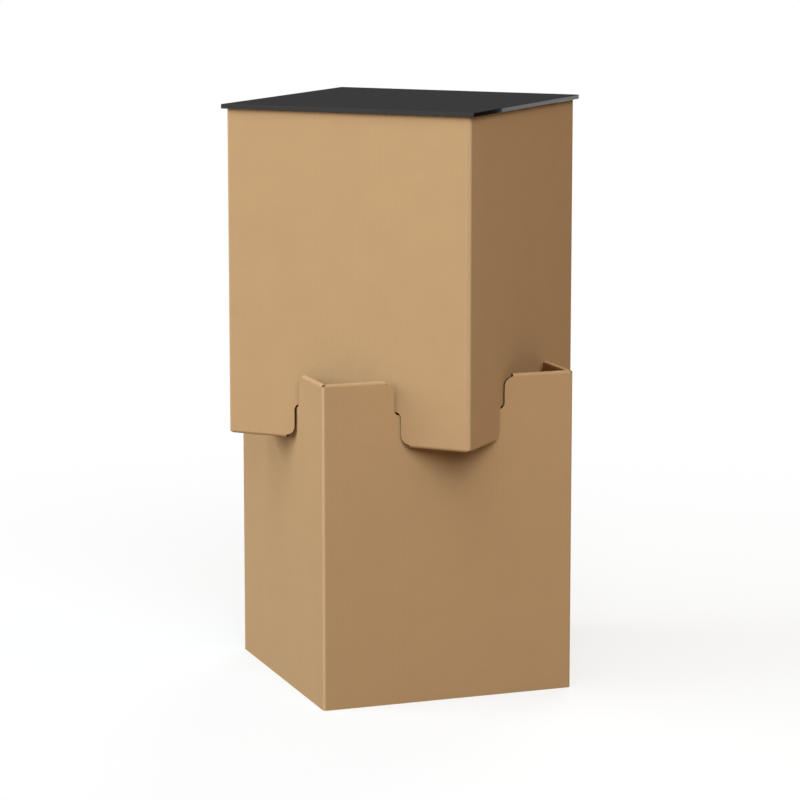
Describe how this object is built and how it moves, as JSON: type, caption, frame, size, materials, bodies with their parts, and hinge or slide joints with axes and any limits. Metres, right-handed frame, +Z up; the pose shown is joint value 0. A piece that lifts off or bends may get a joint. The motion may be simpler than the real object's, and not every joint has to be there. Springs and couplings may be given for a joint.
{
  "type": "cardboard display stand",
  "caption": "Display stand of two interlocking corrugated board sleeves, turned by 45 degrees, with a thin black top plate.",
  "frame": {"origin": "centre of the footprint, on the floor that the stand rests on", "axes": "+Z up; +X and +Y at right angles to the lower sleeve's sides, with the glued corner of the lower sleeve at +X +Y"},
  "size_m": [0.524, 0.524, 0.8043],
  "materials": {
    "kraft_board": "matte",
    "black_plate": "gloss"
  },
  "bodies": {
    "root": {"lower_sleeve": "kraft_board", "upper_sleeve": "kraft_board", "lid_collar": "kraft_board", "top_plate": "black_plate"}
  },
  "joints": []
}
